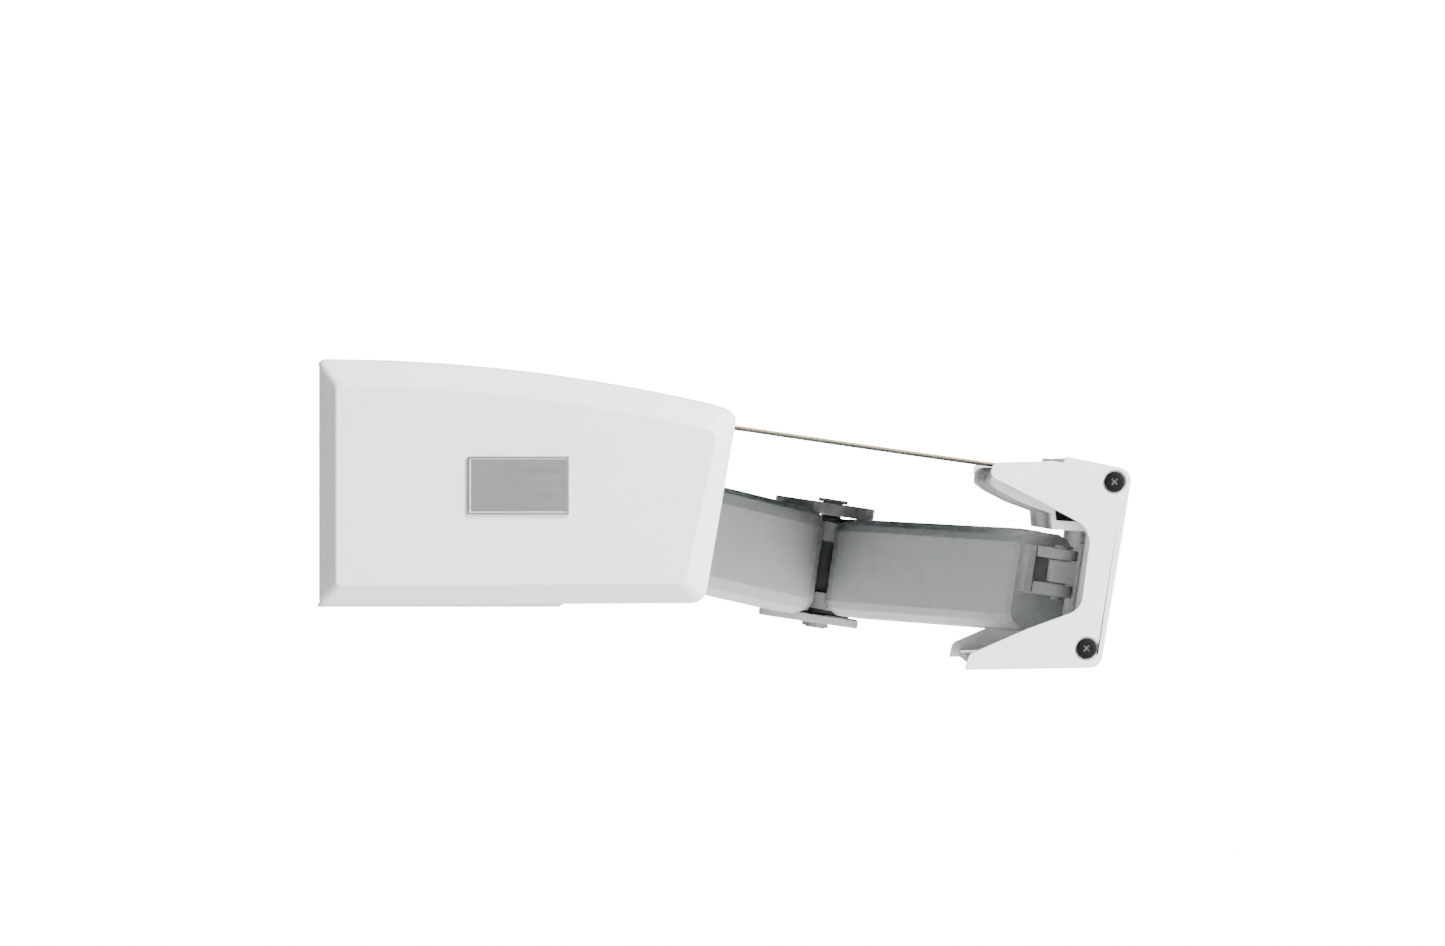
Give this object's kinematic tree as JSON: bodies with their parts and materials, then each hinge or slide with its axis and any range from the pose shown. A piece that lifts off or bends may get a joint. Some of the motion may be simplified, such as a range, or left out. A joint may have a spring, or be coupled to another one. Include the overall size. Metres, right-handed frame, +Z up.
{
  "type": "folding arm awning",
  "caption": "Full-cassette folding-arm awning, partly open: slim wall cassette, coupled folding arms, roller, fabric and front bar.",
  "frame": {"origin": "middle of the centre wall bracket's back face, on the wall", "axes": "+X out from the wall, +Y along the width, +Z up"},
  "size_m": [0.4891, 1.7034, 0.1866],
  "materials": {
    "cap_plastic": "fine texture",
    "powder_coat": "satin powder coat",
    "arm_paint": "satin powder coat",
    "casting": "painted casting",
    "steel": "bright",
    "galvanised": "zinc",
    "black_screw": "black zinc",
    "badge_metal": "brushed",
    "cloth": "woven acrylic",
    "rubber": "matt",
    "motor_case": "dark"
  },
  "bodies": {
    "cassette": {"wall_bracket_left": "galvanised", "wall_bracket_centre": "galvanised", "wall_bracket_right": "galvanised", "back_profile": "powder_coat", "hood": "powder_coat", "end_cap_left": "cap_plastic", "end_cap_right": "cap_plastic", "badge_left": "badge_metal", "badge_right": "badge_metal", "side_plate_left": "galvanised", "side_plate_right": "galvanised", "cable_gland": "rubber", "fabric_guide": "powder_coat", "roller_bearing": "casting", "tubular_motor": "motor_case", "shoulder_bracket_left": "casting", "shoulder_bracket_right": "casting", "shoulder_pin_left": "steel", "shoulder_pin_right": "steel"},
    "roller": {"roller_tube": "steel", "fabric_roll": "cloth", "idler_plug": "casting", "drive_crown": "rubber"},
    "rear_arm_left_body": {"rear_arm_left": "arm_paint", "shoulder_knuckle_left": "casting", "elbow_fork_left": "casting", "elbow_pin_left": "steel", "tension_chain_left": "steel", "arm_spring_left": "steel"},
    "front_arm_left_body": {"front_arm_left": "arm_paint", "elbow_knuckle_left": "casting", "wrist_fork_left": "casting"},
    "rear_arm_right_body": {"rear_arm_right": "arm_paint", "shoulder_knuckle_right": "casting", "elbow_fork_right": "casting", "elbow_pin_right": "steel", "tension_chain_right": "steel", "arm_spring_right": "steel"},
    "front_arm_right_body": {"front_arm_right": "arm_paint", "elbow_knuckle_right": "casting", "wrist_fork_right": "casting"},
    "front_bar": {"front_bar_profile": "powder_coat", "bar_cap_left": "cap_plastic", "bar_cap_right": "cap_plastic", "cap_screw_left_top": "black_screw", "cap_screw_left_bottom": "black_screw", "cap_screw_right_top": "black_screw", "cap_screw_right_bottom": "black_screw", "wrist_bracket_left": "casting", "wrist_bracket_right": "casting", "wrist_pin_left": "steel", "wrist_pin_right": "steel", "hem_rod": "steel"},
    "fabric_run": {"fabric": "cloth"}
  },
  "joints": [
    {"name": "shoulder_left", "type": "hinge", "parent": "cassette", "child": "rear_arm_left_body", "pos_m": [0.1715, -0.72, -0.0115], "axis": [-0.1478, 0, -0.989], "range_deg": [-6.8, 70]},
    {"name": "elbow_left", "type": "hinge", "parent": "rear_arm_left_body", "child": "front_arm_left_body", "pos_m": [0.30958, -0.09541, -0.03214], "axis": [0.1478, 0, 0.989], "range_deg": [-13.61, 140.01]},
    {"name": "wrist_left", "type": "hinge", "parent": "front_arm_left_body", "child": "front_bar", "pos_m": [0.44766, -0.72, -0.05277], "axis": [-0.1478, 0, -0.989], "range_deg": [-6.81, 70.01]},
    {"name": "shoulder_right", "type": "hinge", "parent": "cassette", "child": "rear_arm_right_body", "pos_m": [0.1715, 0.72, -0.0115], "axis": [0.1478, 0, 0.989], "range_deg": [-6.81, 70.01]},
    {"name": "elbow_right", "type": "hinge", "parent": "rear_arm_right_body", "child": "front_arm_right_body", "pos_m": [0.30958, 0.09541, -0.03214], "axis": [-0.1478, 0, -0.989], "range_deg": [-13.61, 140.01]},
    {"name": "fabric_unroll", "type": "slide", "parent": "front_bar", "child": "fabric_run", "axis": [-0.989, 0, 0.1478], "range_m": [-0.0967, 0.9906], "deforming": ["fabric"]},
    {"name": "roller_spin", "type": "hinge", "parent": "cassette", "child": "roller", "pos_m": [0.07145, 0, 0.02266], "axis": [0, 1, 0], "range_deg": [-150, 1540]}
  ],
  "couplings": [
    {"joint": "elbow_left", "follows": "shoulder_left", "ratio": 2},
    {"joint": "wrist_left", "follows": "shoulder_left", "ratio": 1},
    {"joint": "shoulder_right", "follows": "shoulder_left", "ratio": 1},
    {"joint": "elbow_right", "follows": "shoulder_left", "ratio": 2},
    {"joint": "fabric_unroll", "follows": "shoulder_left", "m_per_rad": 0.8104},
    {"joint": "roller_spin", "follows": "shoulder_left", "ratio": 21.9}
  ]
}
